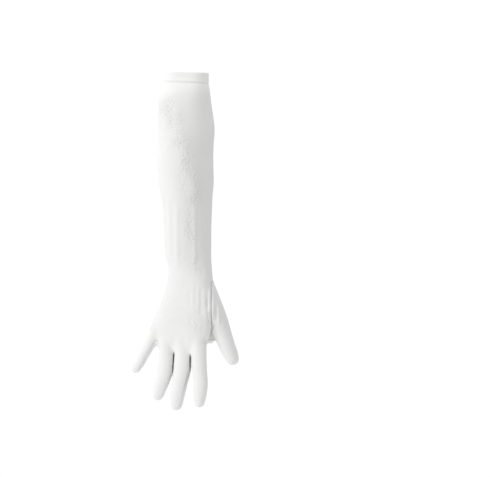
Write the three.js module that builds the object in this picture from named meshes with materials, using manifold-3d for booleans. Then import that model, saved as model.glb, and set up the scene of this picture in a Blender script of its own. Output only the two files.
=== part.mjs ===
// A long stretch-knit dress glove for the right hand, filled as on an arm.
// Millimetres, +Z up, fingers down, thumb towards +X, back of the hand towards -Y.
// The origin is the middle of the cuff's mouth.
import * as THREE from "three";
import { mergeVertices } from "three/addons/utils/BufferGeometryUtils.js";
import Module from "manifold-3d";

const wasm = await Module();
wasm.setup();

// Driving dimensions
const WALL = 1.2; // cloth
const SEAM_GAP = 0.3; // between two sewn pieces
const HEM_DEPTH = 14.4; // height of the turned hem
const HEM_PROUD = 0.4; // the doubled hem stands out and in by this much
const HAND_TURN = 22; // degrees that the hand turns its back outwards
const ARM_SIDES = 32;
const FINGER_SIDES = 12;
const THUMB_SIDES = 16;
const FINGER_STEPS = 6;
const TIP_STEPS = 3;
const FOLD_SIDES = 8;
const OVAL_POINTS = 16;
const FAR = 130; // further than the glove reaches to any side
const MOUTH_CLEAR = 6; // the hollow is cut this far past the mouth and past the hem's edge
const ROW_CLEAR = 1; // a row nearer than this to a cut end is left out
const MERGE = 1e-4; // vertices this close are one
const CLOTH_WHITE = 0xf1f1f0;

// The arm and hand, a row for each section: height, middle, half width, half depth, how square (2 is an
// ellipse), turn about the arm, and how much lower the thumb's side and the back are than the middle.
const ARM = [
  { z: 0, x: -0.4, y: 0, wide: 32.6, deep: 27, square: 2, turn: 0, drop: 1.1, nod: 1 },
  { z: -14.4, x: -0.9, y: 0, wide: 32.4, deep: 27.3, square: 2, turn: 0, drop: 3.2, nod: 1 },
  { z: -21, x: 0, y: 0, wide: 33.9, deep: 28.4, square: 2, turn: 0, drop: 3, nod: 1 },
  { z: -38, x: 0.6, y: 0, wide: 34.9, deep: 29.6, square: 2, turn: 0, drop: 1, nod: 0 },
  { z: -58, x: 2.2, y: 0, wide: 36.9, deep: 31.4, square: 2, turn: 0, drop: 0, nod: 0 },
  { z: -74, x: 3.6, y: 0, wide: 38.2, deep: 32.2, square: 2, turn: 0, drop: 0, nod: 0 },
  { z: -96, x: 3.1, y: 0, wide: 38.2, deep: 32.2, square: 2, turn: 0, drop: 0, nod: 0 },
  { z: -122, x: 2.4, y: 0, wide: 38, deep: 31.2, square: 2, turn: 0, drop: 0, nod: 0 },
  { z: -146, x: 3, y: 0, wide: 37, deep: 29.8, square: 2, turn: 0, drop: 0, nod: 0 },
  { z: -166, x: 4.1, y: 0, wide: 35.3, deep: 28.2, square: 2, turn: 0, drop: 0, nod: 0 },
  { z: -184, x: 5, y: 0, wide: 33.4, deep: 26.4, square: 2, turn: 1, drop: 0, nod: 0 },
  { z: -208, x: 5.1, y: 0, wide: 32.4, deep: 24.4, square: 2, turn: 3, drop: 0, nod: 0 },
  { z: -230, x: 5.2, y: 0, wide: 31.9, deep: 22.4, square: 2, turn: 6, drop: 0, nod: 0 },
  { z: -245, x: 5.7, y: 0, wide: 31.2, deep: 21, square: 2, turn: 9, drop: 0, nod: 0 },
  { z: -256, x: 7.6, y: 0, wide: 29.6, deep: 20, square: 2.1, turn: 12, drop: 0, nod: 0 },
  { z: -268, x: 8.2, y: 0, wide: 29.8, deep: 19.2, square: 2.2, turn: 15, drop: 0, nod: 0 },
  { z: -279, x: 7.6, y: 0.4, wide: 31, deep: 18.6, square: 2.3, turn: 18, drop: 0, nod: 0 },
  { z: -291, x: 5.2, y: 0.8, wide: 32.8, deep: 18, square: 2.4, turn: HAND_TURN, drop: 0, nod: 0 },
  { z: -304, x: 3, y: 1, wide: 34.6, deep: 17.4, square: 2.5, turn: HAND_TURN, drop: 0, nod: 0 },
  { z: -318, x: 0.6, y: 1.2, wide: 35.8, deep: 16.4, square: 2.5, turn: HAND_TURN, drop: 1, nod: 0 },
  { z: -332, x: -2.4, y: 1.6, wide: 37.2, deep: 14.8, square: 2.5, turn: HAND_TURN, drop: 3, nod: 0 },
  { z: -346, x: -5, y: 2.4, wide: 37.6, deep: 12.6, square: 2.4, turn: HAND_TURN, drop: 5, nod: 0 },
  { z: -358, x: -6, y: 2.8, wide: 36.2, deep: 10, square: 2.2, turn: HAND_TURN, drop: 7, nod: 0 },
  { z: -367.5, x: -6.2, y: 3, wide: 34.8, deep: 6.8, square: 2, turn: HAND_TURN, drop: 8, nod: 0 },
  { z: -373.5, x: -6.4, y: 3, wide: 33.2, deep: 3.2, square: 2, turn: HAND_TURN, drop: 8, nod: 0 },
];

// The fingers and thumb, a row for each step down the middle line: place, half width, half depth.
const DIGITS = {
  index: [
    { x: 17.8, y: -6.4, z: -326, wide: 8.6, deep: 8.6 },
    { x: 19.2, y: -7.2, z: -350, wide: 10, deep: 9.6 },
    { x: 19.7, y: -7.6, z: -370, wide: 10.2, deep: 9.6 },
    { x: 20.3, y: -7.8, z: -393, wide: 9.9, deep: 9.2 },
    { x: 21.6, y: -7.6, z: -412, wide: 9.7, deep: 8.8 },
    { x: 20.8, y: -6, z: -427, wide: 9.2, deep: 8.2 },
    { x: 20, y: -4.4, z: -436.8, wide: 7.8, deep: 7 },
  ],
  middle: [
    { x: -1.5, y: 1.4, z: -326, wide: 8.8, deep: 8.8 },
    { x: -1.6, y: 1, z: -356, wide: 10.8, deep: 9.8 },
    { x: -1.7, y: 0.8, z: -379, wide: 11.5, deep: 9.8 },
    { x: -2.8, y: 1.2, z: -396, wide: 11.4, deep: 9.6 },
    { x: -5.7, y: 2.6, z: -411, wide: 10.5, deep: 9.2 },
    { x: -8.6, y: 5, z: -426, wide: 10, deep: 8.6 },
    { x: -10.7, y: 7.8, z: -440.6, wide: 8.3, deep: 7.4 },
  ],
  ring: [
    { x: -22, y: 9, z: -326, wide: 8.6, deep: 8.6 },
    { x: -23.4, y: 9.6, z: -352, wide: 10, deep: 9.4 },
    { x: -23.9, y: 9.7, z: -375, wide: 10.6, deep: 9.4 },
    { x: -26.3, y: 10.6, z: -397.8, wide: 10.3, deep: 9 },
    { x: -30, y: 12.8, z: -412, wide: 9.5, deep: 8.6 },
    { x: -33, y: 14.8, z: -421, wide: 8.9, deep: 8 },
    { x: -35.2, y: 16.6, z: -428.6, wide: 7.8, deep: 7 },
  ],
  little: [
    { x: -25.6, y: 11, z: -313, wide: 7.6, deep: 8 },
    { x: -34.6, y: 14.4, z: -334, wide: 8.4, deep: 8.6 },
    { x: -40.2, y: 16.6, z: -348, wide: 8.4, deep: 8.6 },
    { x: -47, y: 19, z: -362, wide: 8, deep: 8 },
    { x: -54, y: 21.4, z: -374.6, wide: 7.7, deep: 7.6 },
    { x: -60.2, y: 23.8, z: -385.8, wide: 7.2, deep: 7 },
    { x: -64.8, y: 25.6, z: -393.4, wide: 6.8, deep: 6.4 },
  ],
  thumb: [
    { x: 25, y: -1, z: -268, wide: 9, deep: 10 },
    { x: 32, y: -2.4, z: -291, wide: 11.2, deep: 12.4 },
    { x: 38.6, y: -3.4, z: -311, wide: 12.2, deep: 12.8 },
    { x: 45.4, y: -3.8, z: -329, wide: 12.3, deep: 12 },
    { x: 50.4, y: -3.6, z: -345, wide: 12, deep: 11 },
    { x: 56.2, y: -2.6, z: -362, wide: 11.3, deep: 10 },
    { x: 61.2, y: -1.4, z: -373.6, wide: 10.2, deep: 9.2 },
    { x: 63.6, y: -0.6, z: -379.6, wide: 9, deep: 8.2 },
  ],
};

// The web of cloth in the crook of the thumb, a table like the digits'
const WEB = [
  { x: 29, y: -5.4, z: -306, wide: 9, deep: 9 },
  { x: 33.4, y: -5, z: -328, wide: 8, deep: 8.6 },
  { x: 36.2, y: -4.8, z: -342, wide: 6.6, deep: 6.4 },
  { x: 36.8, y: -4.6, z: -350.5, wide: 4.8, deep: 4.4 },
];

// Where the trank ends and the thumb begins: a straight seam on the back, an oval one on the palm.
const THUMB_SEAM = { x: 35.9, top: -280, bottom: -420, outerTop: -256, outerX: 62 };
const THENAR = { x: 41, z: -311, wide: 23, tall: 34, from: 3 };

// The strips between the fingers, each from beside one tip up to the fork and down to the next tip.
const FORKS = [
  { name: "fourchette_ring_little", left: "little", right: "ring", top: -348 },
  { name: "fourchette_middle_ring", left: "ring", right: "middle", top: -358 },
  { name: "fourchette_index_middle", left: "middle", right: "index", top: -363 },
];
const FORK_HALF = 5.6; // half the strip's width at the fork
const FORK_TIP_HALF = 3.4; // and beside the fingertips
const FORK_SHARE = 0.52; // each half reaches just past the line between the two digits
const FORK_SHORT = 3; // the strip stops this far above the end of the finger

// Gathers and creases that stand up from the back: both ends, half width, height. Seen from the front.
const FOLDS = [
  { x0: 32.8, z0: -285, x1: 32.8, z1: -330, half: 2.2, rise: 1.1 },
  { x0: 39.4, z0: -294, x1: 40, z1: -334, half: 1.9, rise: 1 },
  { x0: 45, z0: -304, x1: 47, z1: -334, half: 2, rise: 0.9 },
  { x0: 26, z0: -284, x1: 25.6, z1: -322, half: 2, rise: 0.8 },
  { x0: 12.5, z0: -286, x1: 14, z1: -318, half: 2, rise: 0.7 },
  { x0: -21.4, z0: -176, x1: -20.4, z1: -244, half: 2.2, rise: 1 },
];

// A closed three.js geometry as a solid
function solidOf(geometry) {
  const bare = geometry.clone();
  bare.deleteAttribute("normal");
  bare.deleteAttribute("uv");
  const merged = mergeVertices(bare, MERGE);
  return new wasm.Manifold(
    new wasm.Mesh({
      numProp: 3,
      vertProperties: new Float32Array(merged.attributes.position.array),
      triVerts: new Uint32Array(merged.index.array),
    }),
  );
}

// A solid as a three.js geometry
function geometryOf(solid) {
  const { vertProperties, triVerts } = solid.getMesh();
  const geometry = new THREE.BufferGeometry();
  geometry.setAttribute("position", new THREE.BufferAttribute(new Float32Array(vertProperties), 3));
  geometry.setIndex(new THREE.BufferAttribute(new Uint32Array(triVerts), 1));
  geometry.computeVertexNormals();
  return geometry;
}

// A table's columns as smooth functions of one rising column
function smooth(rows, at, columns) {
  const values = rows.flatMap((row) => columns.map((column) => row[column]));
  const between = new THREE.CubicInterpolant(rows.map(at), values, columns.length);
  return (t) => {
    const found = between.evaluate(t);
    return Object.fromEntries(columns.map((column, i) => [column, found[i]]));
  };
}

const ARM_COLUMNS = ["x", "y", "wide", "deep", "square", "turn", "drop", "nod"];
const armAt = smooth(ARM, (row) => -row.z, ARM_COLUMNS);

// A cosine or sine drawn out towards the corners of a squarer oval
const squared = (value, square) => Math.sign(value) * Math.abs(value) ** (2 / square);

// The arm and hand between two heights, grown by some millimetres
function armSolid(grow, top, bottom) {
  const between = (z) => z < top - ROW_CLEAR && z > bottom + ROW_CLEAR;
  const heights = [top, ...ARM.map((row) => row.z).filter(between), bottom];
  const tube = new THREE.CylinderGeometry(1, 1, 1, ARM_SIDES, heights.length - 1);
  const place = tube.attributes.position;
  for (let i = 0; i < place.count; i++) {
    const row = Math.round((0.5 - place.getY(i)) * (heights.length - 1));
    const section = armAt(Math.max(0, -heights[row]));
    const turn = THREE.MathUtils.degToRad(-section.turn);
    const across = squared(place.getX(i), section.square) * (section.wide + grow);
    const back = -squared(place.getZ(i), section.square) * (section.deep + grow);
    const lower = (section.drop * across) / section.wide - (section.nod * back) / section.deep;
    place.setXYZ(
      i,
      section.x + across * Math.cos(turn) - back * Math.sin(turn),
      section.y + across * Math.sin(turn) + back * Math.cos(turn),
      heights[row] - lower,
    );
  }
  return solidOf(tube);
}

const pointOf = ({ x, y, z }) => new THREE.Vector3(x, y, z);

// A finger or the thumb: a capsule bent down its middle line, grown by some millimetres
function digitSolid(rows, sides, grow) {
  const line = new THREE.CatmullRomCurve3(rows.map(pointOf));
  const girth = smooth(rows, (row) => rows.indexOf(row) / (rows.length - 1), ["wide", "deep"]);
  const capsule = new THREE.CapsuleGeometry(1, 1, TIP_STEPS, sides, FINGER_STEPS);
  const place = capsule.attributes.position;
  const turn = THREE.MathUtils.degToRad(-HAND_TURN);
  for (let i = 0; i < place.count; i++) {
    const height = place.getY(i);
    const along = THREE.MathUtils.clamp(0.5 - height, 0, 1);
    const past = Math.max(0, Math.abs(height) - 0.5) * Math.sign(-height);
    const middle = line.getPoint(along);
    const down = line.getTangent(along);
    const across = new THREE.Vector3(Math.cos(turn), Math.sin(turn), 0);
    across.addScaledVector(down, -across.dot(down)).normalize();
    const back = new THREE.Vector3().crossVectors(across, down);
    const { wide, deep } = girth(along);
    middle.addScaledVector(across, place.getX(i) * (wide + grow));
    middle.addScaledVector(back, -place.getZ(i) * (deep + grow));
    middle.addScaledVector(down, past * ((wide + deep) / 2 + grow));
    place.setXYZ(i, middle.x, middle.y, middle.z);
  }
  return solidOf(capsule);
}

// Every digit and the web at once, grown by some millimetres
function digitSolids(grow) {
  const digits = Object.entries(DIGITS).map(([name, rows]) =>
    digitSolid(rows, name === "thumb" ? THUMB_SIDES : FINGER_SIDES, grow),
  );
  return [...digits, digitSolid(WEB, FINGER_SIDES, grow)];
}

const union = (solids) => solids.reduce((joined, solid) => joined.add(solid));

// An outline in the XZ plane, made thick along Y
function platePrism(points, from, to) {
  const plate = new THREE.ExtrudeGeometry(new THREE.Shape(points), {
    depth: to - from,
    bevelEnabled: false,
  });
  plate.rotateX(Math.PI / 2);
  plate.translate(0, to, 0);
  return solidOf(plate);
}

// What belongs to the thumb: right of its back seam, and inside an oval on the palm
function thumbRegion(gap) {
  const seam = THUMB_SEAM;
  const beyond = platePrism(
    [
      new THREE.Vector2(seam.x - gap, seam.top + gap),
      new THREE.Vector2(seam.x - gap, seam.bottom),
      new THREE.Vector2(FAR, seam.bottom),
      new THREE.Vector2(FAR, seam.outerTop + gap),
      new THREE.Vector2(seam.outerX - gap, seam.outerTop + gap),
    ],
    -FAR,
    FAR,
  );
  const oval = new THREE.Shape();
  oval.absellipse(THENAR.x, THENAR.z, THENAR.wide + gap, THENAR.tall + gap, 0, 2 * Math.PI);
  const points = oval.getPoints(OVAL_POINTS).slice(0, -1);
  return beyond.add(platePrism(points, THENAR.from - gap, FAR));
}

// A digit's middle line seen from the front, without its root and out to near the end of its tip
function digitPath(name, gap) {
  const rows = DIGITS[name].slice(1);
  const last = rows[rows.length - 1];
  const before = rows[rows.length - 2];
  const way = pointOf(last).sub(pointOf(before)).normalize();
  const end = pointOf(last).addScaledVector(way, last.wide - FORK_SHORT + gap);
  return [...rows.map(pointOf), end];
}

// Half of one strip's region: from a digit's middle line to the line between the two digits, and
// no further from the middle of the digit's depth than the strip is wide
function forkHalf(path, otherPath, top, gap) {
  const flat = (point) => new THREE.Vector2(point.x, point.z);
  const below = (point) => point.y < top;
  const own = path.map(flat);
  const shared = path.map((point, i) => flat(point).lerp(flat(otherPath[i]), FORK_SHARE));
  const upper = [shared[0], own[0]].map((point) => new THREE.Vector2(point.x, top + gap));
  const outline = [...upper, ...own.filter(below), ...shared.filter(below).reverse()];
  const from = path[0].z;
  const to = path[path.length - 1].z;
  const halfAt = ({ z }) => gap + THREE.MathUtils.mapLinear(z, from, to, FORK_HALF, FORK_TIP_HALF);
  const slabs = path
    .slice(1)
    .map((lower, i) => slabBetween(path[i], lower, halfAt(path[i]), halfAt(lower)));
  return platePrism(outline, -FAR, FAR).intersect(union(slabs));
}

// What belongs to one strip
function forkRegion({ left, right, top }, gap) {
  const leftPath = digitPath(left, gap);
  const rightPath = digitPath(right, gap);
  return forkHalf(leftPath, rightPath, top, gap).add(forkHalf(rightPath, leftPath, top, gap));
}

// A slab that is long across the hand, between two points of a digit's middle line, following their depth
function slabBetween(upper, lower, upperHalf, lowerHalf) {
  const slab = new THREE.BoxGeometry(FAR, 1, 1);
  const place = slab.attributes.position;
  const slope = -Math.tan(THREE.MathUtils.degToRad(HAND_TURN));
  for (let i = 0; i < place.count; i++) {
    const isUpper = place.getZ(i) > 0;
    const end = isUpper ? upper : lower;
    const half = isUpper ? upperHalf : lowerHalf;
    const x = place.getX(i);
    place.setXYZ(i, end.x + x, end.y + x * slope + Math.sign(place.getY(i)) * half, end.z);
  }
  return solidOf(slab);
}

// The largest body of a solid, without the shreds that a cut leaves
function mainBody(solid) {
  return solid.decompose().reduce((best, body) => (body.volume() > best.volume() ? body : best));
}

// The whole glove's outer form, before it is hollowed and cut
const filled = union([
  armSolid(0, -HEM_DEPTH - SEAM_GAP, ARM[ARM.length - 1].z),
  ...digitSolids(0),
]);
const skin = new THREE.Mesh(geometryOf(filled));
skin.updateMatrixWorld(true);

// The glove's surface where a line from the front meets it
function surfaceAt(x, z) {
  const ray = new THREE.Raycaster(new THREE.Vector3(x, -FAR, z), new THREE.Vector3(0, 1, 0));
  return ray.intersectObject(skin)[0].point;
}

// One crease, a slim ridge half sunk into the cloth
function foldSolid({ x0, z0, x1, z1, half, rise }) {
  const start = surfaceAt(x0, z0);
  const end = surfaceAt(x1, z1);
  const ridge = new THREE.SphereGeometry(1, FOLD_SIDES, FOLD_SIDES);
  ridge.scale(half, start.distanceTo(end) / 2, rise);
  const along = end.clone().sub(start).normalize();
  const upright = new THREE.Vector3(0, 1, 0);
  ridge.applyQuaternion(new THREE.Quaternion().setFromUnitVectors(upright, along));
  const middle = start.clone().lerp(end, 0.5);
  ridge.translate(...surfaceAt(middle.x, middle.z).toArray());
  return solidOf(ridge);
}

const hollow = union([
  armSolid(-WALL, MOUTH_CLEAR, ARM[ARM.length - 1].z + WALL),
  ...digitSolids(-WALL),
]);
const cloth = union([filled, ...FOLDS.map(foldSolid)]).subtract(hollow);

// The cloth cut into its pieces, and the hem, which is doubled and stands out
const cutAway = union([thumbRegion(SEAM_GAP), ...FORKS.map((fork) => forkRegion(fork, SEAM_GAP))]);
const trank = cloth.subtract(cutAway);
const thumb = cloth.intersect(thumbRegion(0));
const hem = armSolid(HEM_PROUD, 0, -HEM_DEPTH).subtract(
  armSolid(-WALL - HEM_PROUD, MOUTH_CLEAR, -HEM_DEPTH - MOUTH_CLEAR),
);

// A named piece of the glove in its own knit
function piece(name, solid) {
  const knit = new THREE.MeshStandardMaterial({ color: CLOTH_WHITE, roughness: 0.85, metalness: 0 });
  const mesh = new THREE.Mesh(geometryOf(mainBody(solid)), knit);
  mesh.name = name;
  return mesh;
}

const glove = new THREE.Group();
glove.add(
  piece("trank", trank),
  piece("thumb", thumb),
  piece("hem", hem),
  ...FORKS.map((fork) => piece(fork.name, cloth.intersect(forkRegion(fork, 0)))),
);

export default glove;
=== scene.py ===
import math

import bmesh
import bpy
import numpy as np
from mathutils import Matrix, Vector, noise


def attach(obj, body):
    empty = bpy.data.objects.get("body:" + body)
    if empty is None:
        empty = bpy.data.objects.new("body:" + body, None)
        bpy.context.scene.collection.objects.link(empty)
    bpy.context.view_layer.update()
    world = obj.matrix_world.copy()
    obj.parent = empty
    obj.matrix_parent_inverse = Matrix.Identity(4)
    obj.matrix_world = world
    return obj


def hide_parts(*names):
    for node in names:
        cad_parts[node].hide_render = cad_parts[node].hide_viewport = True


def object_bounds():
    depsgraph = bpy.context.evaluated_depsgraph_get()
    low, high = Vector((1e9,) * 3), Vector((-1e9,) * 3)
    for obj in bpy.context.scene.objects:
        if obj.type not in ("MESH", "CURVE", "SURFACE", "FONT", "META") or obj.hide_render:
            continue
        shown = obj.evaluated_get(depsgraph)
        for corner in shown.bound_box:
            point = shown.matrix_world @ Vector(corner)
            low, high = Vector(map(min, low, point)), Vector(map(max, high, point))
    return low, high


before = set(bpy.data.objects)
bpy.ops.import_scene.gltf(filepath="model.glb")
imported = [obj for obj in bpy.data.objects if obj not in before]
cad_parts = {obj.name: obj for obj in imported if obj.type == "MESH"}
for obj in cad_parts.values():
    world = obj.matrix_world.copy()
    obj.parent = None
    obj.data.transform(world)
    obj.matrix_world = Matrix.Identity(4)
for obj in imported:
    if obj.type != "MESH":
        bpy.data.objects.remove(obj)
CAD_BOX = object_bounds()

bl_info = {
    "name": "Long glove",
    "version": (1, 0, 0),
    "blender": (4, 5, 0),
    "location": "3D View > Sidebar > Glove",
    "description": "A long stretch-knit dress glove for the right hand, filled as on an arm",
    "category": "Add Mesh",
}

MM = 0.001
HAND_TURN = 22  # degrees
HEM_DEPTH = 13.4  # millimetres
INNER_DEPTH = 318  # how far down the cloth's inner side is built, in millimetres
INNER_FINE = 4.2 * MM  # size of the inner side's faces
BEHIND_HEM = 1.2  # how far the skin reaches up behind the hem, in millimetres
INNER_BEHIND_HEM = 2  # and the inner side
FINER_REACH = (3.2, 1.2)  # how far from a seam the faces are halved, and halved again
ARM_TUBE = {"sides": 96, "steps": 180}
DIGIT_TUBE = {"sides": 40, "steps": 60}
TIP_SHARE = 0.2  # share of a digit's steps that make its round tip
TIP_LONGER = 0.9  # how much longer than round the tip is, in millimetres
TURNS_STEP = 0.01  # step along a digit that gives its direction
LINE_POINTS = 60  # points along a digit's middle line where a strip is laid beside it
KNIT_POINTS = 90  # and where the knit is laid round it
RELAX = {"all": 6, "knuckles": 16, "thumb_root": 8, "last": 2, "inner": 3}  # passes
FAR = 99.0  # a distance that stands for no seam near
BATCH = 8000  # points compared at a time
STRIPS = ("fourchette_ring_little", "fourchette_middle_ring", "fourchette_index_middle")

# The arm and hand in millimetres, a row for each section down from the cuff's mouth: middle, half
# width, half depth, how square (2 is an ellipse), turn about the arm in degrees, and how much lower
# the thumb's side and the back are than the middle.
ARM_COLUMNS = ("down", "x", "y", "wide", "deep", "square", "turn", "drop", "nod")
ARM = (
    (0, -0.4, 0, 32.8, 24.6, 2.75, 0, 1.1, 1),
    (13.4, -0.7, 0, 32.9, 25.6, 2.7, 0, 1, 1),
    (21, -0.1, 0, 33.7, 27.2, 2.5, 0, 1, 0.7),
    (38, 0.6, 0, 34.9, 29.4, 2.2, 0, 0.4, 0),
    (58, 1.8, 0, 36.5, 31.4, 2, 0, 0, 0),
    (74, 2.8, 0, 37.4, 32.2, 2, 0, 0, 0),
    (96, 1.9, 0, 37, 32.2, 2, 0, 0, 0),
    (122, 1.5, 0, 37.1, 31.2, 2, 0, 0, 0),
    (146, 2.5, 0, 36.5, 29.8, 2, 0, 0, 0),
    (166, 3.1, 0, 34.3, 28.2, 2, 0, 0, 0),
    (184, 4.2, 0, 32.6, 26.4, 2, 1, 0, 0),
    (208, 4.3, 0, 31.6, 24.4, 2, 3, 0, 0),
    (230, 4.6, 0, 31.3, 22.4, 2, 6, 0, 0),
    (245, 5.3, 0, 30.8, 21, 2, 9, 0, 0),
    (256, 7.3, 0, 29.3, 20, 2.1, 12, 0, 0),
    (268, 8.2, 0, 29.8, 19.2, 2.2, 15, 0, 0),
    (279, 7.6, 0.4, 31, 18.6, 2.3, 18, 0, 0),
    (291, 5.2, 0.8, 32.8, 18, 2.4, HAND_TURN, 0, 0),
    (304, 3, 1, 34.6, 17.4, 2.8, HAND_TURN, 0, 0),
    (318, 0.6, 1.2, 35.8, 16.4, 3, HAND_TURN, 1, 0),
    (332, -2.4, 1.6, 37.2, 14.8, 3, HAND_TURN, 3, 0),
    (346, -5, 2.4, 37.6, 12.6, 2.7, HAND_TURN, 5, 0),
    (358, -6, 2.8, 36.2, 10, 2.2, HAND_TURN, 7, 0),
    (367.5, -6.2, 3, 34.8, 6.8, 2, HAND_TURN, 8, 0),
    (373.5, -6.4, 3, 33.2, 3.2, 2, HAND_TURN, 8, 0),
)

# The fingers, the thumb and the web in the thumb's crook in millimetres, a row for each step
# down the middle line: its place, half width and half depth.
DIGIT_COLUMNS = ("x", "y", "z", "wide", "deep")
DIGITS = {
    "index": (
        (17.8, -6.4, -326, 8.6, 8.6),
        (19.2, -7.2, -350, 10, 9.6),
        (19.7, -7.6, -370, 10.2, 9.6),
        (20.3, -7.8, -393, 9.9, 9.2),
        (21.6, -7.6, -412, 9.7, 8.8),
        (20.8, -6, -427, 9.2, 8.2),
        (20, -4.4, -436.8, 7.8, 7),
    ),
    "middle": (
        (-1.5, 1.4, -326, 8.8, 8.8),
        (-1.6, 1, -356, 10.8, 9.8),
        (-1.7, 0.8, -379, 11.5, 9.8),
        (-3.0, 1.2, -396, 11.7, 9.6),
        (-5.7, 2.6, -411, 10.5, 9.2),
        (-8.6, 5, -426, 10, 8.6),
        (-10.7, 7.8, -440.6, 8.3, 7.4),
    ),
    "ring": (
        (-22, 9, -326, 8.6, 8.6),
        (-23.4, 9.6, -352, 10, 9.4),
        (-23.9, 9.7, -375, 10.6, 9.4),
        (-25.9, 10.6, -397.8, 10.7, 9),
        (-30, 12.8, -412, 9.5, 8.6),
        (-33, 14.8, -421, 8.9, 8),
        (-35.2, 16.6, -428.6, 7.8, 7),
    ),
    "little": (
        (-25.6, 11, -313, 7.6, 8),
        (-34.6, 14.4, -334, 8.4, 8.6),
        (-40.2, 16.6, -348, 8.4, 8.6),
        (-47, 19, -362, 8, 8),
        (-54, 21.4, -374.6, 7.7, 7.6),
        (-60.2, 23.8, -385.8, 7.2, 7),
        (-64.8, 25.6, -393.4, 6.8, 6.4),
    ),
    "thumb": (
        (25, -1, -268, 9, 10),
        (32, -4, -291, 11.2, 13.4),
        (38.6, -5.4, -311, 12.2, 14.4),
        (45.4, -4.6, -329, 12.3, 12.8),
        (50.4, -3.6, -345, 12, 11),
        (56.2, -2.6, -362, 11.3, 10),
        (61.2, -1.4, -373.6, 10.2, 9.2),
        (63.6, -0.6, -379.6, 9, 8.2),
    ),
    "web": (
        (29, -5.4, -306, 9, 9),
        (33.4, -5, -328, 8, 8.6),
        (35, -5, -342, 7.4, 6.4),
        (34.2, -4.6, -354, 6.6, 4.8),
    ),
}

# Where the trank ends and the thumb begins, in millimetres: a straight seam on the back and an oval
# on the palm
THUMB_SEAM = {"x": 36.1, "top": -280, "outer_top": -256, "outer_x": 62}
THENAR = {"x": 41, "z": -311, "wide": 23, "tall": 34, "behind": -3}
ROUNDING = 2.5  # how softly the oval runs into the straight seam

# The strips between the fingers in millimetres: the digits on both sides and the height of the fork,
# then half the width at the fork and beside the tips
FORKS = {
    "fourchette_ring_little": ("little", "ring", -348),
    "fourchette_middle_ring": ("ring", "middle", -358),
    "fourchette_index_middle": ("middle", "index", -363),
}
FORK_HALF = 5.6
FORK_TIP_HALF = 3.4
FORK_SHORT = 1.5  # how far above the end of the finger a strip stops
FORK_POINT = 9  # length over which a strip comes to a point

# Gathers, creases and hollows on the back, seen from the front in millimetres: both ends, half width
# and height, which is below nothing for a crease.
FOLD_COLUMNS = ("x0", "z0", "x1", "z1", "half", "rise")
FOLDS = (
    (33, -286, 33, -352, 6, 1.2),
    (32.2, -312, 31.6, -354, 5, 2.6),
    (28.6, -350, 29.4, -432, 4.5, 1),
    (33.5, -286, 33.5, -331, 1.1, 0.6),
    (30.8, -300, 31.0, -333, 1.3, -0.7),
    (27.4, -288, 27.0, -324, 2.2, 0.5),
    (38.5, -296, 38.7, -331, 1.2, 0.65),
    (42.5, -308, 43.0, -328, 1.1, -1.0),
    (45.0, -308, 46.2, -334, 1.5, 1.0),
    (-20, -34, 18, -172, 12, 2.3),
    (-9.4, -172, -9, -256, 2.8, 0.7),
    (14.2, -176, 13.8, -262, 3, 0.7),
    (15.8, -276, 16.2, -308, 1.3, -0.4),
    (21.8, -286, 21.6, -324, 1.5, -0.5),
    (18.8, -290, 18.9, -316, 1.3, 0.3),
    (11.2, -284, 11.6, -314, 1.4, 0.3),
    (6.9, -292, 7.2, -312, 1.3, -0.35),
    (13, -328, 13.6, -344, 1.4, 0.5),
    (-25.2, -166, -23.8, -246, 1.5, -1.3),
    (-20, -170, -19.4, -250, 2.8, 0.9),
    (-39.8, -363.5, -33, -361.8, 1.1, -0.8),
    (31.5, -353, 21, -362, 3.5, -0.7),
    (39.4, -333.5, 36.0, -344, 1.1, -1.6),
    (0.6, -352, -0.4, -366, 5, -0.6),
    (-13.6, -350, -14.4, -364, 4, -0.6),
    (9.6, -354, 8.8, -368, 4, -0.6),
)

# Creases and soft folds on the palm side, with the same columns
PALM_FOLDS = (
    (-12, -268, 25, -265, 2.2, -0.7),
    (-12, -275, 22, -272, 2.8, 0.5),
    (10, -294, 1, -334, 3, -0.8),
    (17, -298, 10, -332, 3.2, 0.5),
    (-24, -334, 6, -341, 2.4, -0.6),
    (-20, -317, 3, -326, 3, -0.5),
    (-4, -60, 10, -235, 8, 1),
    (-18, -50, -6, -215, 8, -0.9),
    (12, -386, 29, -388.5, 1.8, -0.45),
    (-12, -396.5, 8, -394, 1.8, -0.45),
    (-36, -393, -18, -387, 1.8, -0.45),
    (-60, -372, -46, -380, 1.6, -0.5),
    (43, -345, 62, -338, 2, -0.7),
)

# Where the knit is pulled on the slant, seen from the front in millimetres: both ends, half width
# and strength
STRETCH_COLUMNS = ("x0", "z0", "x1", "z1", "half", "pull")
STRETCHES = (
    (-24, -34, -5, -96, 12, 1),
    (-9, -76, 17, -188, 12, 1),
    (6, -175, 15, -270, 13, 0.6),
    (16, -275, 12, -345, 16, 0.35),
)

PULLED_KNIT_PAINTED_SHADE = 0.06  # painted shade: how much darker the knit is made where it is pulled on the slant
PULLED_KNIT_SHADE_WIDER = 1.6  # how much wider than the pull the painted shade is
UNEVEN = {"height": 0.28, "round": 19, "down": 34}  # the cloth's slight unevenness in millimetres
PATCHES = {"round": 14, "down": 22, "seed": 7}  # patches of pulled knit in millimetres

# The stitches in millimetres, their lean in degrees
STITCH = {"step": 2.3, "long": 1.7, "thick": 0.42, "proud": 0.3, "lean": 28}
SHORTEST_SEAM = 6  # millimetres, below which no stitch is laid

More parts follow.
